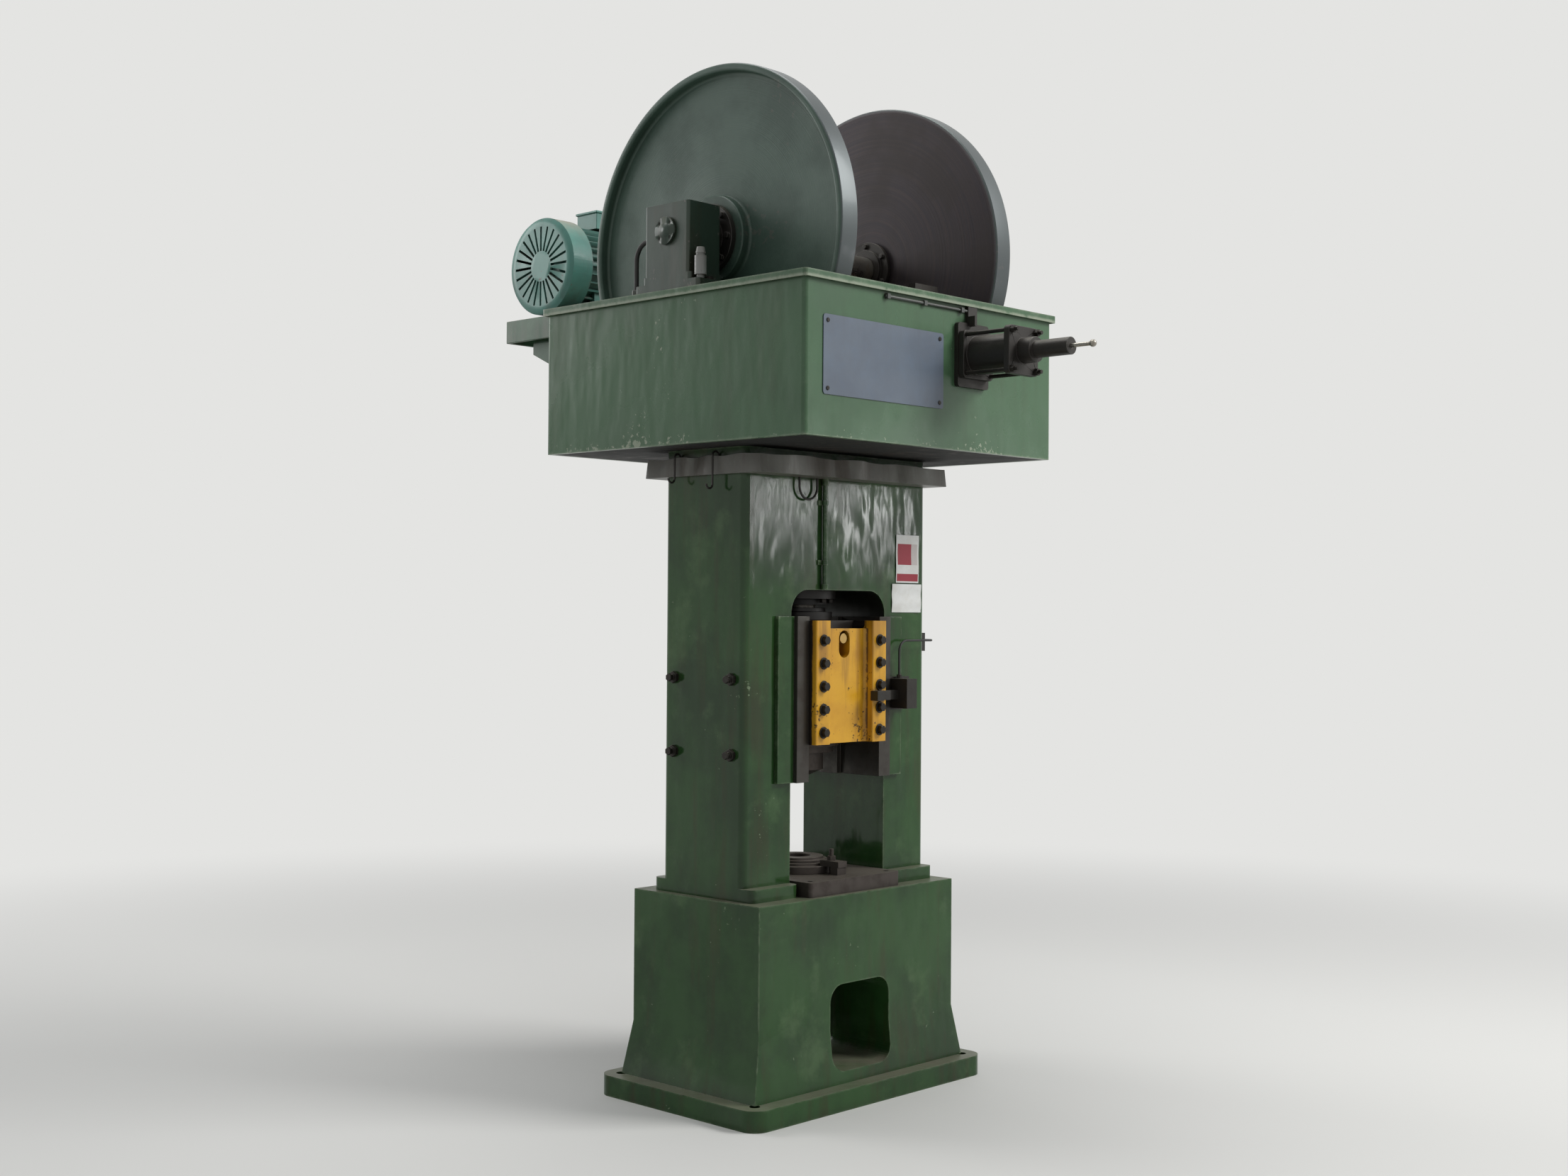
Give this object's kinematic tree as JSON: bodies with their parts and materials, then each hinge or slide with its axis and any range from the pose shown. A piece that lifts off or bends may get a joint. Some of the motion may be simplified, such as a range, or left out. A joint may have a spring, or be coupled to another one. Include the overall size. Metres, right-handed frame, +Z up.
{
  "type": "mechanical stamping press",
  "caption": "Friction screw press: a cast frame with an arched window, a guided ram, a screw with flywheel and upright friction discs over a crown box, belt-driven by a motor.",
  "frame": {"origin": "on the floor, under the screw axis", "axes": "+X right along the front, the front faces -Y, +Z up"},
  "size_m": [1.359, 2.5819, 3.495],
  "materials": {
    "frame_green": "worn gloss green paint",
    "crown_green": "gloss green paint, chipped edges",
    "platform_green": "satin green paint",
    "crown_floor_dark": "dusty dark paint",
    "disc_green": "grey-green paint, worn rim",
    "dark_iron": "oily dark iron",
    "pulley_iron": "painted cast iron",
    "die_steel": "heat-darkened tool steel",
    "bright_steel": "oiled machined steel",
    "black_bolts": "blackened steel",
    "bronze": "oiled bronze",
    "ram_yellow": "worn ochre yellow paint",
    "gutter_grey": "dented dusty sheet metal",
    "plate_blue": "satin blue-grey plate",
    "lubricator_grey": "light grey paint",
    "motor_teal": "dusty teal paint",
    "black_rubber": "matt black rubber",
    "air_pipe_grey": "painted steel tube",
    "belt_leather": "worn belt leather"
  },
  "bodies": {
    "frame": {"frame_casting": "frame_green", "bolster_plate": "die_steel", "bolster_screws": "black_bolts", "lower_die_holder": "die_steel", "lower_die": "die_steel", "die_clamps": "die_steel", "guide_gibs": "dark_iron", "guide_pads": "frame_green", "gib_bolts": "black_bolts", "screw_nut": "bronze", "nut_bolts": "black_bolts", "buffer_ring": "black_rubber", "crown_floor": "crown_floor_dark", "crown_shell": "crown_green", "crown_lid": "crown_green", "crown_fasteners": "black_bolts", "gutter": "gutter_grey", "gutter_hooks": "dark_iron", "lube_pipe": "frame_green", "nameplate": "plate_blue", "brake_flange": "dark_iron", "brake_cylinder": "dark_iron", "brake_tie_rods": "black_bolts", "air_pipe": "air_pipe_grey", "pedestal_left": "crown_green", "pedestal_right": "crown_green", "bearing_cap": "crown_green", "lubricator": "lubricator_grey", "shift_hose": "black_rubber", "motor_platform": "platform_green", "platform_brackets": "platform_green", "motor_body": "motor_teal", "motor_cowl": "motor_teal", "terminal_box": "motor_teal", "drive_belt": "belt_leather", "sensor_bracket": "dark_iron", "ejector_cylinder": "dark_iron", "sensor_cable": "black_rubber"},
    "ram": {"ram_body": "ram_yellow", "ram_strips": "ram_yellow", "ram_bolts": "black_bolts", "ram_pin": "bronze", "ram_cap": "dark_iron", "ram_dog": "dark_iron", "upper_die_holder": "die_steel", "upper_die": "die_steel"},
    "screw": {"screw": "bright_steel", "flywheel": "dark_iron", "rim_lining": "belt_leather", "lock_nut": "dark_iron"},
    "shift": {"quills": "bright_steel"},
    "discs": {"disc_shaft": "bright_steel", "disc_left": "disc_green", "disc_right": "disc_green", "disc_hubs": "dark_iron", "shaft_pulley": "pulley_iron"},
    "motor_rotor": {"motor_pulley": "pulley_iron"},
    "brake": {"brake_rod": "bright_steel", "brake_shoe": "black_bolts"},
    "ejector": {"ejector_pin": "bright_steel"}
  },
  "joints": [
    {"name": "screw_spin", "type": "hinge", "parent": "ram", "child": "screw", "pos_m": [0, 0, 1.6], "axis": [0, 0, 1], "range_deg": [-720, 0]},
    {"name": "ram_slide", "type": "slide", "parent": "frame", "child": "ram", "axis": [0, 0, 1], "range_m": [-0.25, 0]},
    {"name": "disc_shift", "type": "slide", "parent": "frame", "child": "shift", "axis": [1, 0, 0], "range_m": [-0.0037, 0.0037]},
    {"name": "disc_spin", "type": "hinge", "parent": "shift", "child": "discs", "pos_m": [0, 0, 2.905], "axis": [1, 0, 0], "continuous": true},
    {"name": "motor_spin", "type": "hinge", "parent": "frame", "child": "motor_rotor", "pos_m": [0.5, 1.25, 3.005], "axis": [1, 0, 0], "continuous": true},
    {"name": "brake_slide", "type": "slide", "parent": "frame", "child": "brake", "axis": [0, 1, 0], "range_m": [-0.012, 0]},
    {"name": "ejector_slide", "type": "slide", "parent": "frame", "child": "ejector", "axis": [0, 0, 1], "range_m": [0, 0.04]}
  ],
  "couplings": [
    {"joint": "ram_slide", "follows": "screw_spin", "m_per_rad": 0.019894},
    {"joint": "motor_spin", "follows": "disc_spin", "ratio": 2.9167}
  ]
}
